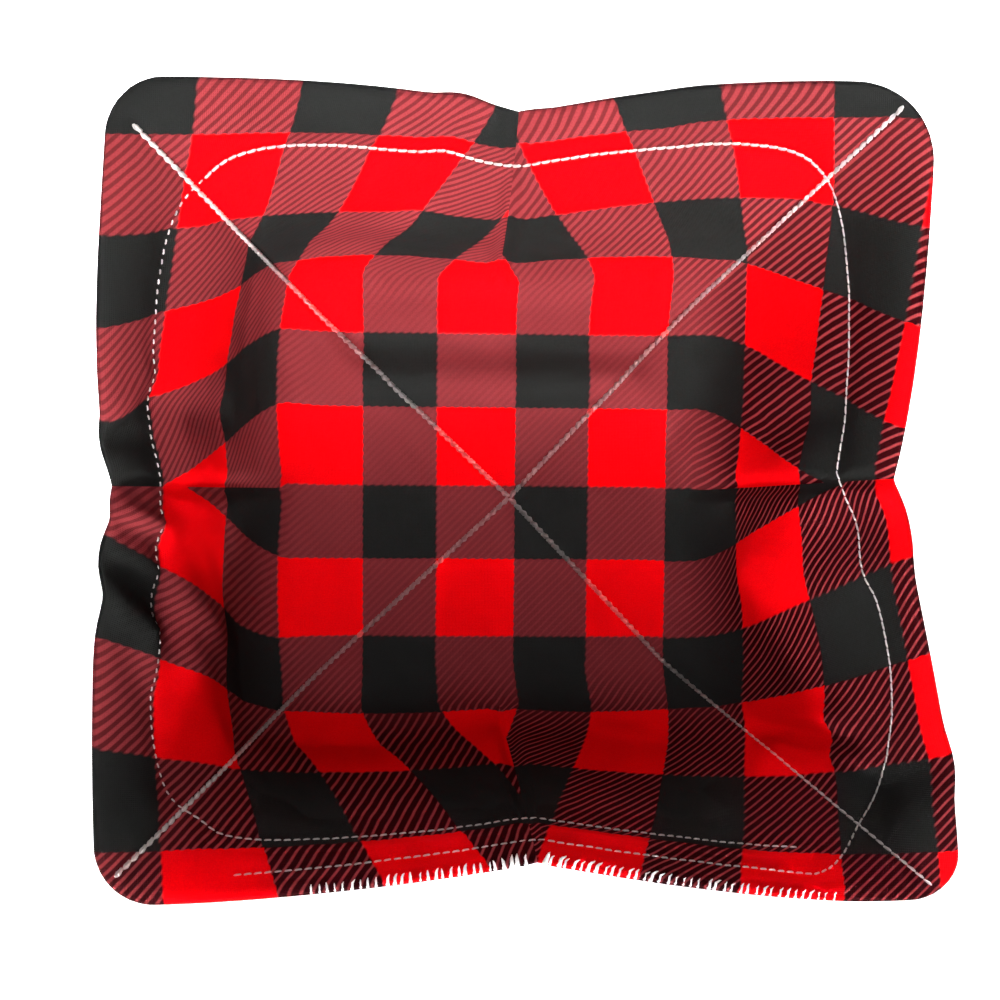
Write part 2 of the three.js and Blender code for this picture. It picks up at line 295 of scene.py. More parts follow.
# Studio: side of the floor in metres and its glow, the glow of the surround near the horizon and overhead,
# and the heights on a unit sphere between which that fades
FLOOR_SIDE = 8
FLOOR_GLOW = 0.85
HORIZON_GLOW, SKY_GLOW = 0.85, 0.02
GLOW_FADE = (0.08, 0.35)

# Lights, two of them aimed at the back half and one at the front rim: place and aim in metres, width and
# height, spread in degrees, and watts
LIGHT_ROWS = [
    ("front_light", (0, -0.93, 0.65), (0, 0.08, 0.055), (0.5, 0.15), 16, 0.97),
    ("top_light", (0, 0.09, 1), (0, 0.09, 0), (0.34, 0.06), 20, 0.42),
    ("rim_light", (0, -0.092, 1), (0, -0.092, 0), (0.4, 0.02), 3, 0.05),
    ("fill_light", (0, -0.1, 1), (0, 0, 0), (0.6, 0.6), 180, 5.5),
]

# Which way a face of the cozy looks
INTO_BOWL, OUT_OF_BOWL = 1, -1

FLAT_MAP = "flat_cloth"
SIDES = 4
UP = np.array((0, 0, 1))
TINY = 1e-9


# A smooth hump, 1 in the middle and dying away past its reach
def bump(distance, reach):
    return np.exp(-((distance / reach) ** 2))


def unit(vectors):
    return vectors / np.maximum(np.linalg.norm(vectors, axis=-1, keepdims=True), TINY)


# Half-width of the cloth that a dart takes up at a level
def dart_half(side, level):
    tip = DART_TIPS[side]
    return DART_TAKES[side] * np.maximum(0, (level - tip) / (HALF_SIDE - tip))


# Middle of a dart along its side at a level
def dart_middle(side, level):
    return DART_ASIDES[side] * np.clip((level - BASE_END) / (HALF_SIDE - BASE_END), 0, 1)


def dart_slope(side):
    return DART_TAKES[side] / (HALF_SIDE - DART_TIPS[side])


def lean_at(index, level):
    stations = [BASE_END, *STATIONS.values()]
    leans = [0, *(SECTIONS[index][name] for name in STATIONS)]
    return np.radians(np.interp(level, stations, leans))


# Cloth that a section covers for each millimetre of level
def section_speed(index, level):
    if index % 2 == 1:
        return np.full(np.shape(level), math.sqrt(2))
    side = index // 2
    return np.where(level > DART_TIPS[side], math.hypot(1, dart_slope(side)), 1.0)


# Walk up a section a millimetre of level at a time, and keep how far out and how high it has come
def walk_section(index):
    middles = np.arange(HALF_SIDE) + 0.5
    lean = lean_at(index, middles)
    step = section_speed(index, middles)
    reach = np.concatenate([[0], np.cumsum(step * np.cos(lean))])
    height = np.concatenate([[0], np.cumsum(step * np.sin(lean))])
    return reach, height


WALKS = [walk_section(index) for index in range(len(SECTIONS))]


# Places and headings of a section at some levels, and the direction across it
def section_at(index, level):
    turn = index * math.pi / SIDES
    out = np.array((math.cos(turn), math.sin(turn), 0))
    across = np.array((-math.sin(turn), math.cos(turn), 0))
    reach, height = (np.interp(level, np.arange(HALF_SIDE + 1), walk) for walk in WALKS[index])
    sway_rate = SECTIONS[index]["sway"] / (HALF_SIDE - SWAY_START)
    sway = sway_rate * np.maximum(0, level - SWAY_START)
    place = np.outer(reach, out) + np.outer(sway, across) + np.outer(height, UP)
    lean = lean_at(index, level)
    speed = section_speed(index, level)
    heading = np.outer(speed * np.cos(lean), out) + np.outer(speed * np.sin(lean), UP)
    heading += np.outer(np.where(level > SWAY_START, sway_rate, 0), across)
    return place, unit(heading), across


# Side of the cloth that each flat place lies on, with its level and how far it is along that side
def side_of(u, v):
    wide = np.abs(u) >= np.abs(v)
    side = np.where(wide, np.where(u >= 0, 0, 2), np.where(v >= 0, 1, 3))
    level = np.maximum(np.abs(u), np.abs(v))
    along = np.choose(side, [v, -u, -v, u])
    return side, level, along


# Inside of the bowl between a dart and a corner: each ring runs in a smooth curve from one to the other
def eighth_place(side, way, level, along):
    half = dart_half(side, level)
    middle = dart_middle(side, level)
    length = np.maximum(level - way * middle - half, TINY)
    share = np.clip((np.abs(along - middle) - half) / length, 0, 1)[:, None]
    dart, dart_heading, dart_across = section_at(2 * side, level)
    corner, corner_heading, corner_across = section_at((2 * side + way) % (2 * SIDES), level)
    ease = np.clip((level - DART_TIPS[side] + DART_EASE) / (2 * DART_EASE), 0, 1)
    rise = DART_RISE * math.atan(dart_slope(side)) * ease
    leaving = dart_heading * np.sin(rise)[:, None] + way * np.outer(np.cos(rise), dart_across)
    arriving = (corner_heading + way * corner_across) / math.sqrt(2)
    place = dart * (2 * share**3 - 3 * share**2 + 1) + corner * (3 * share**2 - 2 * share**3)
    place += length[:, None] * leaving * (share**3 - 2 * share**2 + share)
    place += length[:, None] * arriving * (share**3 - share**2)
    return place


# Inside of the bowl over flat places, none of which hangs below the base
def bowl_place(u, v):
    side, level, along = side_of(u, v)
    place = np.zeros((len(u), 3))
    for one_side in range(SIDES):
        way = np.where(along < dart_middle(one_side, level), -1, 1)
        for one_way in (-1, 1):
            here = (side == one_side) & (way == one_way)
            place[here] = eighth_place(one_side, one_way, level[here], along[here])
    place[:, 2] = np.maximum(place[:, 2], 0)
    return place


def distance_to_segment(u, v, start, end):
    du, dv = end[0] - start[0], end[1] - start[1]
    share = np.clip(((u - start[0]) * du + (v - start[1]) * dv) / (du * du + dv * dv), 0, 1)
    return np.hypot(u - start[0] - share * du, v - start[1] - share * dv)


# Smooth route through flat points, as many samples as its length asks for
def spline_route(points):
    points = np.array(points, float)
    length = np.linalg.norm(np.diff(points, axis=0), axis=1).sum()
    places = np.linspace(0, len(points) - 1, int(length / ROUTE_STEP))
    first = np.minimum(places.astype(int), len(points) - 2)
    share = (places - first)[:, None]
    before = points[np.maximum(first - 1, 0)]
    start, end = points[first], points[first + 1]
    after = points[np.minimum(first + 2, len(points) - 1)]
    leaving, arriving = (end - before) / 2, (after - start) / 2
    route = (2 * start - 2 * end + leaving + arriving) * share**3
    route += (3 * end - 3 * start - 2 * leaving - arriving) * share**2
    return route + leaving * share + start


def straight_route(start, end):
    share = np.linspace(0, 1, int(math.dist(start, end) / ROUTE_STEP))[:, None]
    return np.array(start) * (1 - share) + np.array(end) * share


TOPSTITCH_ROUTE = spline_route(TOPSTITCH)


# Distance to the nearest line of sewing that goes through both panels, with the topstitch taken about a
# millimetre at a time
def distance_to_sewing(u, v):
    nearest = np.full(u.shape, np.inf)
    for end in QUILT_ENDS:
        nearest = np.minimum(nearest, distance_to_segment(u, v, QUILT_MIDDLE, end))
    skip = int(1 / ROUTE_STEP)
    for point in TOPSTITCH_ROUTE[::skip]:
        nearest = np.minimum(nearest, np.hypot(u - point[0], v - point[1]))
    return nearest


# Distance along a ring to the nearest dart seam
def distance_to_dart(u, v):
    side, level, along = side_of(u, v)
    tip = np.array(DART_TIPS)[side]
    half = np.choose(side, [dart_half(one, level) for one in range(SIDES)])
    aside = np.abs(along - np.choose(side, [dart_middle(one, level) for one in range(SIDES)]))
    return np.where(level < tip, np.hypot(tip - level, aside), np.maximum(0, aside - half))


# Two crossing sets of waves that wander, from 0 to 1
def waves(u, v, length):
    first = np.sin(u / length + WAVE_WANDER * np.sin(v / length))
    second = np.sin(WAVE_CROWDING * v / length + u / length)
    return (first * second + 1) / 2


# How far the sewing, the darts and the unevenness of the wadding draw a face in
def drawn_in(u, v):
    sewing = distance_to_sewing(u, v)
    pressed = GROOVE_DEPTH * bump(sewing, GROOVE_REACH) + DISH_DEPTH * bump(sewing, DISH_REACH)
    darted = DART_GROOVE_DEPTH * bump(distance_to_dart(u, v), DART_GROOVE_REACH)
    uneven = LUMP_HEIGHT * waves(u, v, LUMP_LENGTH) + PUCKER_HEIGHT * waves(v, u, PUCKER_LENGTH)
    return np.maximum(pressed, darted) + uneven


# Rise of some folds at flat places, which die away at a dart seam
def fold_rise(folds, u, v):
    rise = np.zeros(u.shape)
    for fold in folds:
        rise += fold["rise"] * bump(distance_to_segment(u, v, fold["start"], fold["end"]), fold["width"])
    return rise * (1 - bump(distance_to_dart(u, v), FOLD_FADE))


# Levels of the rings, with the last few over the rolled rim
def ring_levels():
    base = np.arange(BASE_SPACING, BASE_END, BASE_SPACING)
    walls = np.arange(BASE_END, HALF_SIDE - ROLL, WALL_SPACING)
    rolled = HALF_SIDE - ROLL + ROLL * np.array(ROLL_SHARES)
    return np.concatenate([base, walls, rolled])


# Shares of the way from a dart to a corner
def column_shares():
    even = np.linspace(0, 1, HALF_COLUMNS + 1)
    return even - CROWDING * np.sin(2 * math.pi * even) / (2 * math.pi)


# Flat places on a ring from a dart to a corner, which is rounded towards the rim
def ring_part(side, way, shares, level):
    corner = side if way > 0 else (side - 1) % SIDES
    growth = np.clip((level - ROUND_START) / (HALF_SIDE - ROUND_START), 0, 1)
    rounding = max(CORNER_ROUNDS[corner] * growth, TINY)
    edge = way * dart_middle(side, level) + dart_half(side, level)
    straight = level - rounding - edge
    walked = shares * (straight + rounding * math.pi / 4)
    angle = np.maximum(0, walked - straight) / rounding
    turned = walked > straight
    out = np.where(turned, level - rounding + rounding * np.cos(angle), level)
    along = way * np.where(turned, level - rounding + rounding * np.sin(angle), edge + walked)
    return [(out, along), (-along, out), (-out, -along), (along, -out)][side]


# Flat places of a whole ring, counter-clockwise from the front right corner. A dart column lies on both
# edges of its dart, and dart_way says which one is given.
def ring_places(level, dart_way):
    shares = column_shares()
    us, vs = [], []
    for side in range(SIDES):
        before = ring_part(side, -1, shares[:0:-1], level)
        at = ring_part(side, dart_way, shares[:1], level)
        after = ring_part(side, 1, shares[1:-1], level)
        us += [before[0], at[0], after[0]]
        vs += [before[1], at[1], after[1]]
    return np.concatenate(us), np.concatenate(vs)


# Flat places of all rings as two grids, a row for each ring
def flat_grid(dart_way):
    rings = [ring_places(level, dart_way) for level in LEVELS]
    return np.array([ring[0] for ring in rings]), np.array([ring[1] for ring in rings])


LEVELS = ring_levels()
FLAT_U, FLAT_V = flat_grid(1)
BEFORE_U, BEFORE_V = flat_grid(-1)
RINGS, COLUMNS = FLAT_U.shape


# Directions out of the bowl over a grid of points
def outward_directions(points):
    along = np.roll(points, -1, axis=1) - np.roll(points, 1, axis=1)
    upward = np.gradient(points, axis=0)
    return unit(np.cross(along, upward))


# Values of a function of flat places, over the whole grid
def on_grid(function, *extra):
    values = function(*extra, FLAT_U.ravel(), FLAT_V.ravel())
    return values.reshape(RINGS, COLUMNS, *values.shape[1:])


# Smooth inside of the bowl, then with its folds
SMOOTH = on_grid(bowl_place)
INSIDE = SMOOTH - outward_directions(SMOOTH) * on_grid(fold_rise, FOLDS)[..., None]
OUTWARD = outward_directions(INSIDE)
DRAWN_IN = on_grid(drawn_in)


# Share of a panel's thickness that is left as its edge rolls over to the rim seam
def roll_share():
    share = np.clip((LEVELS - HALF_SIDE + ROLL) / ROLL, 0, 1)
    return np.sqrt(1 - share * share)[:, None]


# Depths of each panel's two faces below the smooth inside
def inner_depths():
    thick = np.maximum(PANEL_THICK - DRAWN_IN + on_grid(fold_rise, SOFT_FOLDS), LEAST_THICK)
    return PANEL_THICK - roll_share() * thick, np.full((RINGS, COLUMNS), PANEL_THICK)


def outer_depths():
    thick = np.maximum(PANEL_THICK - DRAWN_IN, LEAST_THICK)
    start = PANEL_THICK + PANEL_GAP
    return np.full((RINGS, COLUMNS), start), start + roll_share() * thick


# Points of a face in its own millimetres: the middle, then the rings
def face_points(depths):
    grid = INSIDE + OUTWARD * depths[..., None]
    middle = grid[0].mean(axis=0)
    return np.vstack([middle[None], grid.reshape(-1, 3)])


# Where the middle of the flat cloth stands in the frame, in millimetres
def frame_shift():
    low, high = (np.array(corner) / MM for corner in CAD_BOX)
    points = face_points(outer_depths()[1])
    shift = (low + high) / 2 - (points.min(axis=0) + points.max(axis=0)) / 2
    shift[2] = low[2] - points[:, 2].min()
    return shift


SHIFT = frame_shift()


def in_frame(points):
    return (np.asarray(points) + SHIFT) * MM


# Corners of a face's middle fan and of the squares between its rings, facing into the bowl
def face_corners():
    column = np.arange(COLUMNS)
    following = (column + 1) % COLUMNS
    fan = np.stack([np.zeros(COLUMNS, int), 1 + column, 1 + following], axis=1)
    near = (1 + np.arange(RINGS - 1) * COLUMNS)[:, None]
    far = near + COLUMNS
    quads = np.stack(
        [near + column, far + column, far + following, near + following], axis=-1
    ).reshape(-1, 4)
    return fan, quads


# Flat place of each of those corners, at a dart on the edge that its face reaches
def corner_flats():
    here = np.stack([FLAT_U, FLAT_V], axis=-1)
    before = np.roll(np.stack([BEFORE_U, BEFORE_V], axis=-1), -1, axis=1)
    fan = np.stack([np.zeros((COLUMNS, 2)), here[0], before[0]], axis=1)
    quads = np.stack([here[:-1], here[1:], before[1:], before[:-1]], axis=2)
    return fan.reshape(-1, 2), quads.reshape(-1, 2)


def new_object(name, mesh, material):
    mesh.materials.append(material)
    mesh.shade_smooth()
    piece = bpy.data.objects.new(name, mesh)
    bpy.context.scene.collection.objects.link(piece)
    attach(piece, "root")
    return piece


# A closed panel between an upper and a lower face that share their points along the rim
def make_panel(name, depths, material):
    upper = face_points(depths[0])
    lower = face_points(depths[1])
    rim_start = len(upper) - COLUMNS
    fan, quads = face_corners()
    lower_index = np.arange(len(upper)) + len(upper)
    lower_index[rim_start:] = np.arange(rim_start, len(upper))
    faces = [*fan.tolist(), *quads.tolist()]
    faces += [*lower_index[fan[:, ::-1]].tolist(), *lower_index[quads[:, ::-1]].tolist()]
    mesh = bpy.data.meshes.new(name)
    mesh.from_pydata(in_frame(np.vstack([upper, lower[:rim_start]])), [], faces)
    fan_flats, quad_flats = corner_flats()
    turned_fan = fan_flats.reshape(-1, 3, 2)[:, ::-1].reshape(-1, 2)
    turned_quads = quad_flats.reshape(-1, 4, 2)[:, ::-1].reshape(-1, 2)
    flats = np.vstack([fan_flats, quad_flats, turned_fan, turned_quads]) * MM
    mesh.uv_layers.new(name=FLAT_MAP).data.foreach_set("uv", flats.ravel())
    return new_object(name, mesh, material)


# A tree for finding the nearest place on a face
def face_tree(depths):
    points = in_frame(face_points(depths))
    fan, quads = face_corners()
    return BVHTree.FromPolygons(points.tolist(), [*fan.tolist(), *quads.tolist()])


# Directions out of the bowl at flat places away from the grid
def outward_at(u, v):
    step = WALL_SPACING / 2
    rightward = bowl_place(u + step, v) - bowl_place(u - step, v)
    backward = bowl_place(u, v + step) - bowl_place(u, v - step)
    return unit(np.cross(backward, rightward))


# Places and directions away from the cloth along a flat route, on one face of the cozy
def lay_route(route, tree, depth, facing):
    route = route[distance_to_dart(route[:, 0], route[:, 1]) > TINY]
    u, v = route[:, 0], route[:, 1]
    folds = FOLDS + SOFT_FOLDS if facing == INTO_BOWL else FOLDS
    sunk = depth + facing * drawn_in(u, v) - fold_rise(folds, u, v)
    guesses = in_frame(bowl_place(u, v) + outward_at(u, v) * sunk[:, None])
    found = [tree.find_nearest(Vector(guess)) for guess in guesses]
    places = np.array([hit[0] for hit in found])
    normals = np.array([hit[1] for hit in found])
    return evened(places), unit(evened(normals)) * facing, route


# A running mean over a few neighbours, with the end values repeated past both ends
def evened(values):
    padded = np.concatenate([values[:1]] * EVEN_REACH + [values] + [values[-1:]] * EVEN_REACH)
    count = 2 * EVEN_REACH + 1
    return sum(padded[start : start + len(values)] for start in range(count)) / count


# Length walked along a laid route at each of its places
def along_route(places):
    steps = np.linalg.norm(np.diff(places, axis=0), axis=1)
    return np.concatenate([[0], np.cumsum(steps)])


# Values along a route at other lengths of the walk
def sample(walked, values, at):
    return np.stack([np.interp(at, walked, column) for column in values.T], axis=-1)


# Points of two-ply thread around centre lines, a row of rings for each stitch
def thread_points(centres, normals, radii):
    tangents = unit(np.gradient(centres, axis=1))
    sideways = unit(np.cross(normals, tangents))
    upward = np.cross(tangents, sideways)
    angle = np.linspace(0, 2 * math.pi, STITCH_SIDES, endpoint=False)
    turn = np.linspace(0, PLY_TURNS * 2 * math.pi, centres.shape[1])
    ply = 1 + PLY_DEPTH * np.cos(2 * angle[None, :] + turn[:, None])
    spread = (radii[..., None] * ply)[..., None]
    circle = np.cos(angle)[:, None] * sideways[:, :, None] + np.sin(angle)[:, None] * upward[:, :, None]
    return centres[:, :, None] + spread * circle


# One mesh of many stitches, from the points of their rings and the flat place of each ring
def make_stitches(name, points, flats, material):
    count, rings, sides = points.shape[:3]
    index = np.arange(count * rings * sides).reshape(count, rings, sides)
    near, far = index[:, :-1], index[:, 1:]
    quads = np.stack([near, np.roll(near, -1, axis=2), np.roll(far, -1, axis=2), far], axis=-1)
    caps = [*index[:, 0, ::-1].tolist(), *index[:, -1].tolist()]
    mesh = bpy.data.meshes.new(name)
    mesh.from_pydata(points.reshape(-1, 3), [], [*quads.reshape(-1, 4).tolist(), *caps])
    corner_points = np.empty(len(mesh.loops), int)
    mesh.loops.foreach_get("vertex_index", corner_points)
    point_flats = np.repeat(flats.reshape(-1, 2), sides, axis=0) * MM
    mesh.uv_layers.new(name=FLAT_MAP).data.foreach_set("uv", point_flats[corner_points].ravel())
    return new_object(name, mesh, material)


# Stitches along a laid route, each dipping into the cloth at both ends, with their flat places
def route_stitches(places, normals, route, widths, fills):
    walked = along_route(places)
    count = int(walked[-1] / (STITCH_PITCH * MM))
    starts = np.arange(count) * STITCH_PITCH * MM
    middles = starts + STITCH_PITCH * MM / 2
    width = np.interp(middles, walked, widths)[:, None] * MM
    fill = np.interp(middles, walked, fills)[:, None]
    share = np.linspace(-0.5, 0.5, STITCH_RINGS)
    at = middles[:, None] + STITCH_PITCH * MM * fill * share
    centres = sample(walked, places, at)
    lifted = sample(walked, normals, at)
    ahead = unit(np.gradient(centres, axis=1))
    arch = np.sqrt(np.maximum(0, 1 - (2 * share) ** 2))
    centres += lifted * (width * (STITCH_ARCH * arch - STITCH_SINK))[..., None]
    centres += np.cross(lifted, ahead) * (width * STITCH_SLANT * 2 * share)[..., None]
    radii = width / 2 * (STITCH_TIP + (1 - STITCH_TIP) * arch)
    return thread_points(centres, unit(lifted), radii), sample(walked, route, at)


# Width and fill of the topstitch's thread, from the part of the rim that it runs along
def topstitch_looks(route):
    side = side_of(route[:, 0], route[:, 1])[0]
    widths = np.choose(side, [RIGHT_WIDTH, BACK_WIDTH, LEFT_WIDTH, FRONT_WIDTH])
    fills = np.choose(side, [RIGHT_FILL, BACK_FILL, LEFT_FILL, FRONT_FILL])
    return widths, fills


# The four arms of the quilted X, whose thread is widest on the base
def make_quilting(name, tree, depth, facing, material):
    arms = []
    for end, end_width in zip(QUILT_ENDS, QUILT_END_WIDTHS):
        laid = lay_route(straight_route(QUILT_MIDDLE, end), tree, depth, facing)
        level = np.abs(laid[2]).max(axis=1)
        widths = np.interp(level, (BASE_END, STATIONS["low"]), (QUILT_BASE_WIDTH, end_width))
        arms.append(route_stitches(*laid, widths, np.full(len(level), QUILT_FILL)))
    points, flats = (np.concatenate(parts) for parts in zip(*arms))
    return make_stitches(name, points, flats, material)


def make_topstitch(name, tree, depth, facing, material):
    laid = lay_route(TOPSTITCH_ROUTE, tree, depth, facing)
    points, flats = route_stitches(*laid, *topstitch_looks(laid[2]))
    return make_stitches(name, points, flats, material)


# Sizes of the overlock threads, and their flat places at shares of the way from -1 inside the bowl to 1
# outside, with 0 at the rim
def overlock_routes(share):
    starts = np.concatenate([np.arange(*run, OVERLOCK_PITCH) for run in OVERLOCK_RUNS])
    uneven = np.random.default_rng(OVERLOCK_SEED).uniform(-1, 1, (3, len(starts))) * OVERLOCK_UNEVEN
    starts += uneven[0]
    size = OVERLOCK_LEAST + (1 - OVERLOCK_LEAST) * bump(starts - OVERLOCK_PEAK, OVERLOCK_SPREAD)
    size *= 1 + uneven[1]
    lean = size * OVERLOCK_LEAN * (1 + OVERLOCK_LEAN_UNEVEN * uneven[2])
    along = starts[:, None] - np.outer(lean, share)
    level = HALF_SIDE - np.outer(size * OVERLOCK_IN, np.abs(share))
    return size, along.ravel(), -level.ravel()


# Places of the overlock threads on the two faces of the cozy, and directions away from them
def lay_overlock(u, v, share, inner_tree, outer_tree):
    middle_depth = PANEL_THICK + PANEL_GAP / 2
    depth = middle_depth * (1 + np.sign(share))
    guesses = in_frame(bowl_place(u, v) + outward_at(u, v) * depth[:, None])
    places, normals = [], []
    for guess, is_outside in zip(guesses, share > 0):
        tree = outer_tree if is_outside else inner_tree
        place, normal, _, _ = tree.find_nearest(Vector(guess))
        places.append(place)
        normals.append(-normal if is_outside else normal)
    return np.array(places), unit(np.array(normals))


# Overlock threads over the front rim: each starts inside the bowl, leans along the edge and ends outside
def make_overlock(name, inner_tree, outer_tree, material):
    share = np.linspace(-1, 1, STITCH_RINGS)
    size, u, v = overlock_routes(share)
    places, normals = lay_overlock(u, v, np.tile(share, len(size)), inner_tree, outer_tree)
    shape = (len(size), STITCH_RINGS, 3)
    taper = 1 - (1 - OVERLOCK_TIP) * np.abs(share)
    radii = np.outer(size, taper) * OVERLOCK_WIDTH / 2 * MM
    points = thread_points(places.reshape(shape), normals.reshape(shape), radii)
    return make_stitches(name, points, np.stack([u, v], axis=-1), material)


# Adds shader nodes to one new material and links them
class Shading:
    def __init__(self, name):
        self.material = bpy.data.materials.new(name)
        self.material.use_nodes = True
        self.tree = self.material.node_tree
        self.shader = self.tree.nodes["Principled BSDF"]

    # Links a socket to another one, or sets its number or colour
    def feed(self, value, socket):
        if isinstance(value, bpy.types.NodeSocket):
            self.tree.links.new(value, socket)
        elif value is not None:
            socket.default_value = (*value, 1) if isinstance(value, tuple) else value

    def math(self, operation, *values):
        node = self.tree.nodes.new("ShaderNodeMath")
        node.operation = operation
        for value, socket in zip(values, node.inputs):
            self.feed(value, socket)
        return node.outputs[0]

    # A value turned into 0 to 1 between two limits
    def ramp(self, value, low, high):
        node = self.tree.nodes.new("ShaderNodeMapRange")
        node.interpolation_type = "SMOOTHSTEP"
        self.feed(value, node.inputs["Value"])
        self.feed(low, node.inputs["From Min"])
        self.feed(high, node.inputs["From Max"])
        return node.outputs["Result"]

    def mix(self, share, low, high):
        node = self.tree.nodes.new("ShaderNodeMix")
        node.data_type = "RGBA"
        first, second = [socket for socket in node.inputs if socket.type == "RGBA"]
        self.feed(share, node.inputs["Factor"])
        self.feed(low, first)
        self.feed(high, second)
        return next(socket for socket in node.outputs if socket.type == "RGBA")

    def noise(self, place, scale, detail):
        node = self.tree.nodes.new("ShaderNodeTexNoise")
        node.inputs["Scale"].default_value = scale
        node.inputs["Detail"].default_value = detail
        self.feed(place, node.inputs["Vector"])
        return node.outputs["Fac"]

    # A sine wave from 0 to 1
    def wave(self, value, pitch):
        turned = self.math("MULTIPLY", value, 2 * math.pi / pitch)
        return self.math("MULTIPLY_ADD", self.math("SINE", turned), 0.5, 0.5)

    def bump(self, height, relief, under=None):
        node = self.tree.nodes.new("ShaderNodeBump")
        node.inputs["Strength"].default_value = relief[0]
        node.inputs["Distance"].default_value = relief[1] * MM
        self.feed(height, node.inputs["Height"])
        self.feed(under, node.inputs["Normal"])
        return node.outputs["Normal"]


# Where a line of squares is red-ish (1) or black-ish (0), with the twill's teeth on its edges
def check_line(shading, place, start, black_share, tooth):
    squares = shading.math("SUBTRACT", shading.math("DIVIDE", place, SQUARE * MM), start)
    toothed = shading.math("ADD", squares, tooth)
    turn = shading.math("FLOORED_MODULO", toothed, REPEAT)
    black_end = REPEAT * black_share
    rising = shading.ramp(turn, black_end - CHECK_BLUR, black_end + CHECK_BLUR)
    falling = shading.ramp(turn, REPEAT - CHECK_BLUR, REPEAT)
    return shading.math("SUBTRACT", rising, falling)


# Flat place on the cloth, as a point and as its two parts
def flat_place(shading):
    flat = shading.tree.nodes.new("ShaderNodeUVMap")
    flat.uv_map = FLAT_MAP
    split = shading.tree.nodes.new("ShaderNodeSeparateXYZ")
    shading.feed(flat.outputs["UV"], split.inputs[0])
    return flat.outputs["UV"], split.outputs["X"], split.outputs["Y"]


# How far the level of a flat place has come between two levels, from 0 to 1
def level_rise(shading, u, v, limits):
    level = shading.math("MAXIMUM", shading.math("ABSOLUTE", u), shading.math("ABSOLUTE", v))
    return shading.ramp(level, limits[0] * MM, limits[1] * MM)


# Lines of the printed twill, from 0 to 1
def twill_lines(shading, place, u, v):
    waver = shading.math("MULTIPLY", shading.noise(place, *WAVER_NOISE), TWILL_WAVER * MM)
    slant = shading.math("SUBTRACT", u, v)
    return shading.wave(shading.math("ADD", slant, waver), TWILL_PITCH * MM)


def printed_place(shading, u, v):
    back = shading.math("MAXIMUM", shading.math("SUBTRACT", v, ASKEW_START * MM), 0.0)
    growth = shading.math("MULTIPLY", back, ASKEW / MM)
    rightward = shading.math("MULTIPLY", shading.math("ABSOLUTE", u), growth)
    forward = shading.math("MULTIPLY", shading.math("MINIMUM", u, 0.0), growth)
    return shading.math("SUBTRACT", u, rightward), shading.math("SUBTRACT", v, forward)


# Colour of the mixed squares, with the lines of their twill and painted shade towards the front
def twill_colour(shading, lines, u, v):
    # Painted shade: towards the front the twill is painted with more contrast and thinner light lines, so
    # darker, and towards the lit back with less contrast
    toward_shade = shading.math("SUBTRACT", shading.math("MULTIPLY", u, SHADE_RIGHTWARD), v)
    turn = shading.ramp(toward_shade, TWILL_SHADE_RAMP[0] * MM, TWILL_SHADE_RAMP[1] * MM)
    rise = level_rise(shading, u, v, TWILL_RISE)
    contrast = shading.math(
        "MULTIPLY",
        shading.math("MULTIPLY_ADD", turn, 1 - LIT_BACK_TWILL, LIT_BACK_TWILL),
        shading.math("MULTIPLY_ADD", rise, 1 - BASE_TWILL, BASE_TWILL),
    )
    shade_thinned = shading.math("MULTIPLY_ADD", turn, -SHADE_LINE_THINNING, lines)
    swing = shading.math("SUBTRACT", shading.ramp(shade_thinned, *TWILL_EDGE), 0.5)
    return shading.mix(shading.math("MULTIPLY_ADD", swing, contrast, TWILL_MIDDLE), TWILL_DARK, TWILL_LIGHT)


# Colour of the check: red, black and twill-mixed squares
def check_colour(shading, place, u, v):
    lines = twill_lines(shading, place, u, v)
    tooth = shading.math("MULTIPLY", lines, TWILL_TOOTH)
    printed_u, printed_v = printed_place(shading, u, v)
    column = check_line(shading, printed_u, CHECK_START[0], BLACK_COLUMN_SHARE, tooth)
    row_start = CHECK_START[1] - REPEAT * BLACK_ROW_SHARE
    row = check_line(shading, printed_v, row_start, BLACK_ROW_SHARE, tooth)
    red = shading.math("MULTIPLY", column, row)
    not_column, not_row = (shading.math("SUBTRACT", 1.0, line) for line in (column, row))
    black = shading.math("MULTIPLY", not_column, not_row)
    mixed = twill_colour(shading, lines, u, v)
    return shading.mix(black, shading.mix(red, mixed, RED), BLACK)


# A colour made lighter or darker
def scaled(shading, colour, scale):
    node = shading.tree.nodes.new("ShaderNodeVectorMath")
    node.operation = "SCALE"
    shading.feed(colour, node.inputs[0])
    shading.feed(scale, node.inputs["Scale"])
    return node.outputs[0]


# Printed check cloth, with yarns, fibres and slight fading
def check_cloth():
    shading = Shading("check_cloth")
    place, u, v = flat_place(shading)
    fibres = shading.noise(place, *FIBRE_NOISE)
    fading = shading.math("MULTIPLY_ADD", shading.noise(place, *FADING_NOISE), *FADING_SHADE)
    shade = shading.math("MULTIPLY_ADD", fibres, FIBRE_SHADE, fading)
    colour = scaled(shading, check_colour(shading, place, u, v), shade)
    shading.feed(colour, shading.shader.inputs["Base Color"])

    warp = shading.wave(u, YARN_PITCH * MM)
    weft = shading.wave(v, YARN_PITCH * MM)
    weave = shading.math("MULTIPLY", warp, weft)
    raised = shading.math("MULTIPLY_ADD", fibres, FIBRE_HEIGHT, weave)
    printed = shading.bump(twill_lines(shading, place, u, v), TWILL_RELIEF)
    woven = shading.bump(raised, WEAVE_RELIEF, printed)
    crumpled = shading.bump(shading.noise(place, *CRUMPLE_NOISE), CRUMPLE_RELIEF, woven)
    shading.feed(crumpled, shading.shader.inputs["Normal"])
    roughness = shading.math("MULTIPLY_ADD", fibres, *CLOTH_ROUGHNESS)
    shading.feed(roughness, shading.shader.inputs["Roughness"])
    shading.shader.inputs["Specular IOR Level"].default_value = CLOTH_GLOSS
    return shading.material


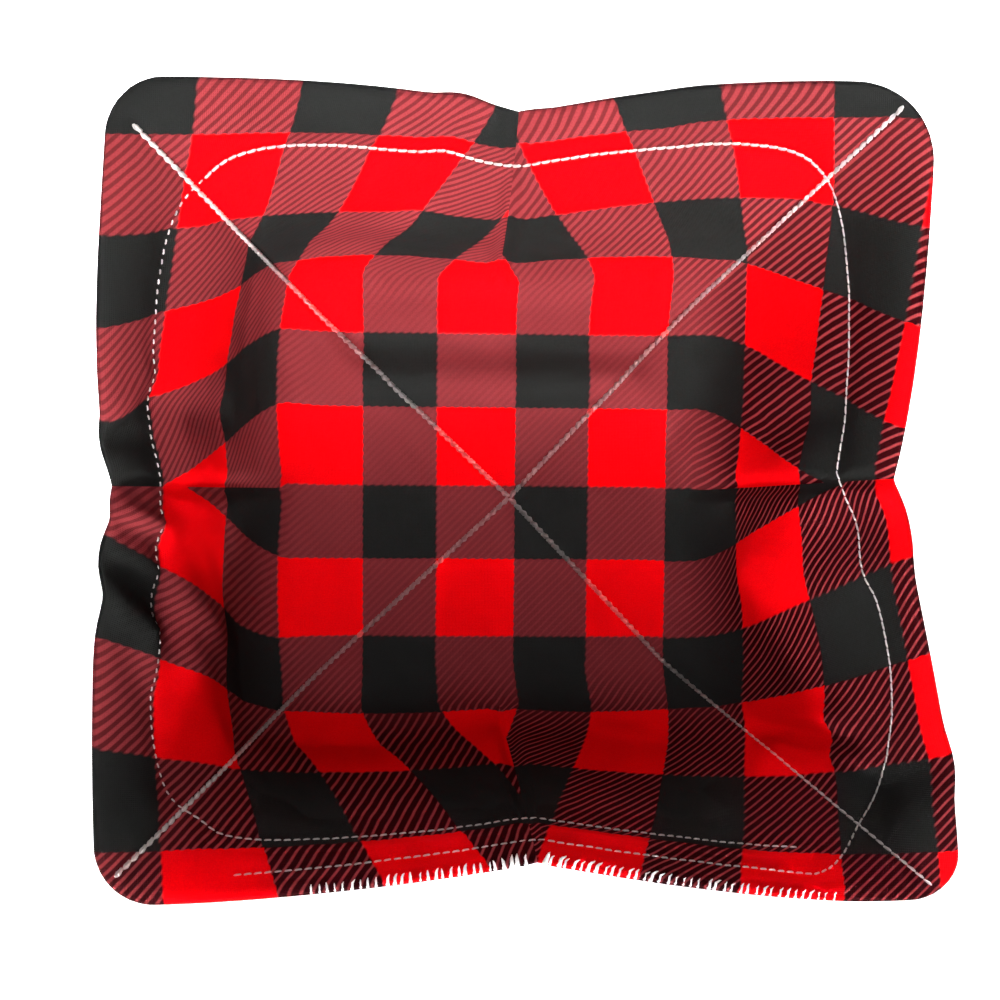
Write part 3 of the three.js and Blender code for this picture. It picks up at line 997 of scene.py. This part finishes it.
# White sewing thread, so thin that the cloth shows through it most on the base
def sewing_thread():
    shading = Shading("sewing_thread")
    place, u, v = flat_place(shading)
    wall = level_rise(shading, u, v, THREAD_WALL_RISE)
    edge = level_rise(shading, u, v, THREAD_EDGE_RISE)
    share = shading.math("MULTIPLY_ADD", wall, THREAD_WALL_SHARE, THREAD_BASE_SHARE)
    thread = shading.mix(share, check_colour(shading, place, u, v), THREAD_WHITE)
    colour = shading.mix(edge, thread, EDGE_WHITE)
    coordinates = shading.tree.nodes.new("ShaderNodeTexCoord")
    fibres = shading.noise(coordinates.outputs["Object"], *THREAD_FIBRE_NOISE)
    patches = shading.noise(coordinates.outputs["Object"], *THREAD_PATCH_NOISE)
    shade = shading.math("MULTIPLY_ADD", patches, *THREAD_SHADE)
    shading.feed(scaled(shading, colour, shade), shading.shader.inputs["Base Color"])
    shading.feed(shading.bump(fibres, THREAD_RELIEF), shading.shader.inputs["Normal"])
    roughness = shading.math("MULTIPLY_ADD", fibres, *THREAD_ROUGHNESS)
    shading.feed(roughness, shading.shader.inputs["Roughness"])
    shading.shader.inputs["Specular IOR Level"].default_value = THREAD_GLOSS
    return shading.material


# A wide pale floor with a glow of its own
def make_floor():
    shading = Shading("pale_floor")
    coordinates = shading.tree.nodes.new("ShaderNodeTexCoord")
    grain = shading.noise(coordinates.outputs["Object"], *FLOOR_NOISE)
    shading.feed(shading.mix(grain, FLOOR_WHITE, FLOOR_GREY), shading.shader.inputs["Base Color"])
    shading.shader.inputs["Roughness"].default_value = FLOOR_ROUGHNESS
    shading.shader.inputs["Emission Color"].default_value = GLOW_WHITE
    shading.shader.inputs["Emission Strength"].default_value = FLOOR_GLOW
    bpy.ops.mesh.primitive_plane_add(size=FLOOR_SIDE)
    floor = bpy.context.object
    floor.name = "floor"
    floor.data.materials.append(shading.material)


def add_light(name, place, aim, size, spread, watts):
    lamp = bpy.data.lights.new(name, "AREA")
    lamp.shape = "RECTANGLE"
    lamp.size, lamp.size_y = size
    lamp.spread = math.radians(spread)
    lamp.energy = watts
    light = bpy.data.objects.new(name, lamp)
    light.location = place
    light.rotation_euler = (Vector(aim) - Vector(place)).to_track_quat("-Z", "Y").to_euler()
    bpy.context.scene.collection.objects.link(light)


# A surround that is pale near the horizon and dim overhead
def make_surround():
    world = bpy.data.worlds.new("studio")
    world.use_nodes = True
    nodes, links = world.node_tree.nodes, world.node_tree.links
    coordinates = nodes.new("ShaderNodeTexCoord")
    split = nodes.new("ShaderNodeSeparateXYZ")
    fade = nodes.new("ShaderNodeMapRange")
    fade.inputs["From Min"].default_value, fade.inputs["From Max"].default_value = GLOW_FADE
    fade.inputs["To Min"].default_value = HORIZON_GLOW
    fade.inputs["To Max"].default_value = SKY_GLOW
    links.new(coordinates.outputs["Generated"], split.inputs[0])
    links.new(split.outputs["Z"], fade.inputs["Value"])
    background = nodes["Background"]
    background.inputs["Color"].default_value = GLOW_WHITE
    links.new(fade.outputs["Result"], background.inputs["Strength"])
    bpy.context.scene.world = world


# Soft light from the front and above
def make_studio():
    make_surround()
    for row in LIGHT_ROWS:
        add_light(*row)
    bpy.context.scene.view_settings.view_transform = "Standard"


def make_camera():
    data = bpy.data.cameras.new("camera")
    data.lens = CAMERA_LENS
    data.sensor_width = CAMERA_SENSOR
    data.clip_start = CAMERA_NEAR
    camera = bpy.data.objects.new("camera", data)
    turns = [Matrix.Rotation(math.radians(angle), 4, axis) for angle, axis in zip(CAMERA_TILT, "XYZ")]
    camera.matrix_world = Matrix.Translation(in_frame(CAMERA_PLACE)) @ turns[0] @ turns[1] @ turns[2]
    bpy.context.scene.collection.objects.link(camera)
    bpy.context.scene.camera = camera


# The two panels with all their sewing, built in place of the CAD panels, which are hidden
def make_cozy():
    cloth = check_cloth()
    thread = sewing_thread()
    inner_depth, outer_depth = inner_depths(), outer_depths()
    inner = make_panel("inner_cloth", inner_depth, cloth)
    outer = make_panel("outer_cloth", outer_depth, cloth)
    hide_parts("inner_panel")
    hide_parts("outer_panel")
    inside, outside = face_tree(inner_depth[0]), face_tree(outer_depth[1])
    full_depth = 2 * PANEL_THICK + PANEL_GAP
    inner_sewing = [
        make_quilting("inner_quilting", inside, 0, INTO_BOWL, thread),
        make_topstitch("inner_topstitch", inside, 0, INTO_BOWL, thread),
        make_overlock("overlocked_edge", inside, outside, thread),
    ]
    outer_sewing = [
        make_quilting("outer_quilting", outside, full_depth, OUT_OF_BOWL, thread),
        make_topstitch("outer_topstitch", outside, full_depth, OUT_OF_BOWL, thread),
    ]


make_cozy()
make_floor()
make_studio()
make_camera()
